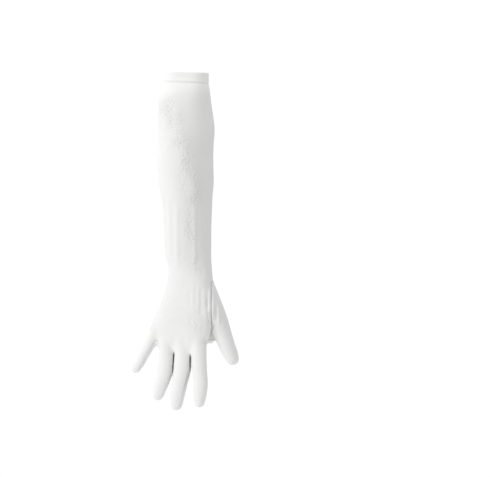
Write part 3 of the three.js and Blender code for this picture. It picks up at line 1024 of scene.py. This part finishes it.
class GloveLook(bpy.types.PropertyGroup):
    """Settings for the glove's cloth"""

    colour: bpy.props.FloatVectorProperty(
        name="Cloth",
        description="Colour of the knit",
        default=(0.83, 0.83, 0.825),
        subtype="COLOR", size=3, min=0, max=1
    )
    # the cuff colour is partly the doubled knit's own colour and partly painted light, at the mouth and
    # on the fingers
    cuff: bpy.props.FloatVectorProperty(
        name="Cuff",
        description="Colour of the knit at the mouth, where it is loose and doubled",
        default=(0.89, 0.89, 0.885),
        subtype="COLOR", size=3, min=0, max=1
    )
    thick: bpy.props.FloatProperty(
        name="Thickness",
        description="Thickness of the knit",
        default=1.2 * MM, subtype="DISTANCE", unit="LENGTH"
    )
    fine: bpy.props.FloatProperty(
        name="Fineness",
        description="Size of the skin's faces",
        default=1.4 * MM, subtype="DISTANCE", unit="LENGTH"
    )
    folds: bpy.props.FloatProperty(
        name="Gathers", description="Depth of the gathers and creases", default=1.0
    )
    column: bpy.props.FloatProperty(
        name="Column", description="Width of a column of stitches in mm", default=1.25
    )
    row: bpy.props.FloatProperty(
        name="Row", description="Height of a row of stitches in mm", default=1.05
    )
    crumple: bpy.props.FloatProperty(
        name="Crumple",
        description="Size of the crumpled relief where the knit is stretched",
        default=3.2 * MM, subtype="DISTANCE", unit="LENGTH"
    )
    relief: bpy.props.FloatProperty(
        name="Relief", description="Strength of the knit's relief", default=0.6
    )
    sheen: bpy.props.FloatProperty(
        name="Sheen", description="Soft light at the cloth's edges", default=0.12
    )


class StageLook(bpy.types.PropertyGroup):
    """Settings for the light, the floor and the camera"""

    key: bpy.props.FloatProperty(
        name="Key light", description="Power of the light at the left", default=28, unit="POWER"
    )
    overhead: bpy.props.FloatProperty(
        name="Overhead light", description="Power of the light above", default=11, unit="POWER"
    )
    behind: bpy.props.FloatProperty(
        name="Light behind",
        description="Power of the soft light on the palm side",
        default=5.5, unit="POWER"
    )
    around: bpy.props.FloatProperty(
        name="Light around", description="Strength of the even light", default=0.64
    )
    floor: bpy.props.FloatProperty(
        name="Floor",
        description="Gap from the fingertips to the floor",
        default=700 * MM, subtype="DISTANCE", unit="LENGTH"
    )
    distance: bpy.props.FloatProperty(
        name="Camera",
        description="From the glove to the camera",
        default=3.611, subtype="DISTANCE", unit="LENGTH"
    )


class GLOVE_OT_cloth(bpy.types.Operator):
    """Cuts and shapes the trank, the thumb and the three strips between the fingers"""

    bl_idname = "glove.cloth"
    bl_label = "Sewn pieces"

    def execute(self, context):
        look = context.scene.glove_look
        finish = knit_finish("white_knit", look)
        skin = skin_mesh(look.fine, look.folds)
        for number, name in enumerate(("trank", *INSIDE)):
            inside = inner_side(INNER_FINE, look.thick) if name == "trank" else None
            stand_for(cloth_piece(skin, number, name, inside, finish), name)
        bpy.data.meshes.remove(skin)
        return {"FINISHED"}


# The hem's section in millimetres, a point to a row: out from the arm's section and down from the
# mouth
HEM_PROFILE = (
    (-0.3, 13.4),
    (0.3, 13),
    (0.75, 12.1),
    (0.6, 10.8),
    (0.2, 9.4),
    (0.1, 6.6),
    (0.15, 3.4),
    (0.25, 1.2),
    (-0.1, 0.1),
    (-0.7, 0.0),
    (-1.4, 0.8),
    (-1.6, 3.6),
    (-1.6, 8),
    (-1.5, 12),
    (-1.0, 13.4),
)
HEM_RADIUS = 100  # of the round form that is then laid on the arm's section
HEM_STEPS = 220
HEM_STITCHES = 78
HEM_STITCH_DOWN = 9.2
HEM_STITCH_OUT = 0.1
PUCKER = {"height": 0.1, "count": 84, "down": 12, "half": 2.2}
WANDER = {"height": 0.25, "round": 2, "down": 8}  # the hem's slight unevenness


class GLOVE_OT_hem(bpy.types.Operator):
    """Turns the hem at the mouth of the cuff"""

    bl_idname = "glove.hem"
    bl_label = "Hem"

    def execute(self, context):
        look = context.scene.glove_look
        bm = bmesh.new()
        loop = [bm.verts.new((HEM_RADIUS + out, 0, -down)) for out, down in HEM_PROFILE]
        edges = [bm.edges.new((a, b)) for a, b in zip(loop, loop[1:] + loop[:1])]
        bmesh.ops.spin(
            bm,
            geom=loop + edges,
            cent=(0, 0, 0),
            axis=(0, 0, 1),
            angle=2 * math.pi,
            steps=HEM_STEPS,
            use_merge=True,
        )
        bmesh.ops.recalc_face_normals(bm, faces=bm.faces)
        unit = vert_array(bm)
        radius = np.hypot(unit[:, 0], unit[:, 1])
        angle = np.arctan2(unit[:, 1], unit[:, 0])
        out = radius - HEM_RADIUS
        near_edge = np.exp(-(((unit[:, 2] + PUCKER["down"]) / PUCKER["half"]) ** 2))
        pucker = PUCKER["height"] * np.sin(angle * PUCKER["count"]) * near_edge * (out > 0)
        wide, tall = WANDER["round"], WANDER["down"]
        wander = [
            noise.noise(Vector((math.cos(a) * wide, math.sin(a) * wide, z / tall)))
            for a, z in zip(angle, unit[:, 2])
        ]
        points = arm_points(np.cos(angle), np.sin(angle), -unit[:, 2])
        outward = np.stack([np.cos(angle), np.sin(angle), np.zeros(len(angle))], axis=-1)
        points += outward * (out + pucker + WANDER["height"] * np.array(wander))[:, None]
        place_verts(bm, points * MM)
        turns = np.linspace(0, 2 * math.pi, HEM_STITCHES, endpoint=False)
        row = arm_points(np.cos(turns), np.sin(turns), np.full(HEM_STITCHES, HEM_STITCH_DOWN))
        ahead = np.roll(row, -1, axis=0) - np.roll(row, 1, axis=0)
        places = []
        for point, way, turn in zip(row, ahead, turns):
            out = Vector((math.cos(turn), math.sin(turn), 0))
            middle = Vector(point) * MM + out * HEM_STITCH_OUT * MM
            places.append((middle, Vector(way).normalized(), out))
        loose = bpy.data.meshes.new("turned_hem")
        bm.to_mesh(loose)
        bm.clear()
        join_in(bm, loose)
        join_in(bm, stitch_mesh(places))
        mesh = mesh_of(bm, "hem")
        lay_out_knit(mesh)
        hem = finished_piece("hem", mesh, bpy.data.materials["white_knit"])
        rounding = hem.modifiers.new("round", "SUBSURF")
        rounding.levels = 1
        rounding.render_levels = 1
        stand_for(hem, "hem")
        return {"FINISHED"}


WHITE = (1, 1, 1, 1)
FLOOR_HALF = 6  # metres

# A plain matt surface with a faint glow of its own
FLOOR_LOOK = {
    "Base Color": (0.9, 0.9, 0.9, 1),
    "Roughness": 0.9,
    "Emission Color": WHITE,
    "Emission Strength": 0.12,
}
GROUND_WHITE = 1.02  # strength of the white behind the glove

# The lamps: name, diameter and place in metres
LAMPS = (
    ("key", 1.0, (-2.1, -1.17, 0.75)),
    ("overhead", 0.8, (0.1, -0.2, 1.8)),
    ("behind", 1.2, (-1.9, 1.9, 0.6)),
)
LAMPS_AIM = (0, 0, -0.22)

# The camera: its place beside and below the cuff's mouth and the width that it sees, in metres
CAMERA_X = 0.0804
CAMERA_Z = -0.2208
SEEN_WIDTH = 0.65
SENSOR_WIDTH = 36  # millimetres
CLIP_END = 50


class GLOVE_OT_stage(bpy.types.Operator):
    """Sets the pale floor, the soft light from the left and the camera in front"""

    bl_idname = "glove.stage"
    bl_label = "Stage"

    def execute(self, context):
        look = context.scene.glove_stage
        scene = context.scene
        scene.view_settings.view_transform = "Standard"
        scene.view_settings.look = "None"

        bm = bmesh.new()
        bmesh.ops.create_grid(bm, x_segments=1, y_segments=1, size=FLOOR_HALF)
        bmesh.ops.translate(bm, verts=bm.verts, vec=(0, 0, CAD_BOX[0][2] - look.floor))
        mesh = mesh_of(bm, "floor")
        floor = added("floor", mesh)
        pale = bpy.data.materials.new("pale_floor")
        pale.use_nodes = True
        for key, value in FLOOR_LOOK.items():
            pale.node_tree.nodes["Principled BSDF"].inputs[key].default_value = value
        mesh.materials.append(pale)

        world = bpy.data.worlds.new("studio")
        scene.world = world
        world.use_nodes = True
        nodes = Nodes(world.node_tree)
        seen = nodes.add("ShaderNodeBackground", {"Color": WHITE, "Strength": GROUND_WHITE})
        lit = nodes.add("ShaderNodeBackground", {"Color": WHITE, "Strength": look.around})
        camera_ray = nodes.add("ShaderNodeLightPath").outputs["Is Camera Ray"]
        joined = {0: camera_ray, 1: lit.outputs[0], 2: seen.outputs[0]}
        mixed = nodes.add("ShaderNodeMixShader", joined).outputs[0]
        nodes.add("ShaderNodeOutputWorld", {"Surface": mixed})

        for name, size, place in LAMPS:
            lamp = bpy.data.lights.new(name, "AREA")
            lamp.shape = "DISK"
            lamp.size = size
            lamp.energy = getattr(look, name)
            light = added(name, lamp)
            light.location = place
            towards = Vector(LAMPS_AIM) - light.location
            light.rotation_euler = towards.to_track_quat("-Z", "Y").to_euler()

        lens = bpy.data.cameras.new("camera")
        lens.lens = SENSOR_WIDTH * look.distance / SEEN_WIDTH
        lens.clip_end = CLIP_END
        camera = added("camera", lens)
        camera.location = (CAMERA_X, -look.distance, CAMERA_Z)
        camera.rotation_euler = (math.pi / 2, 0, 0)
        scene.camera = camera
        return {"FINISHED"}


class GLOVE_PT_panel(bpy.types.Panel):
    """The glove's settings and steps in the sidebar"""

    bl_label = "Long glove"
    bl_idname = "GLOVE_PT_panel"
    bl_space_type = "VIEW_3D"
    bl_region_type = "UI"
    bl_category = "Glove"

    def draw(self, context):
        layout = self.layout
        for group in (context.scene.glove_look, context.scene.glove_stage):
            box = layout.box()
            for key in group.__annotations__:
                box.prop(group, key)
        for operator in OPERATORS:
            layout.operator(operator.bl_idname)


OPERATORS = (GLOVE_OT_cloth, GLOVE_OT_hem, GLOVE_OT_stage)
CLASSES = (GloveLook, StageLook, *OPERATORS, GLOVE_PT_panel)


def register():
    """Adds the settings, the operators and the panel."""
    for cls in CLASSES:
        bpy.utils.register_class(cls)
    bpy.types.Scene.glove_look = bpy.props.PointerProperty(type=GloveLook)
    bpy.types.Scene.glove_stage = bpy.props.PointerProperty(type=StageLook)


def unregister():
    """Takes them out again."""
    del bpy.types.Scene.glove_stage
    del bpy.types.Scene.glove_look
    for cls in reversed(CLASSES):
        bpy.utils.unregister_class(cls)


def main():
    """Builds the glove and its stage."""
    register()
    bpy.ops.glove.cloth()
    bpy.ops.glove.hem()
    bpy.ops.glove.stage()


if __name__ == "__main__":
    main()
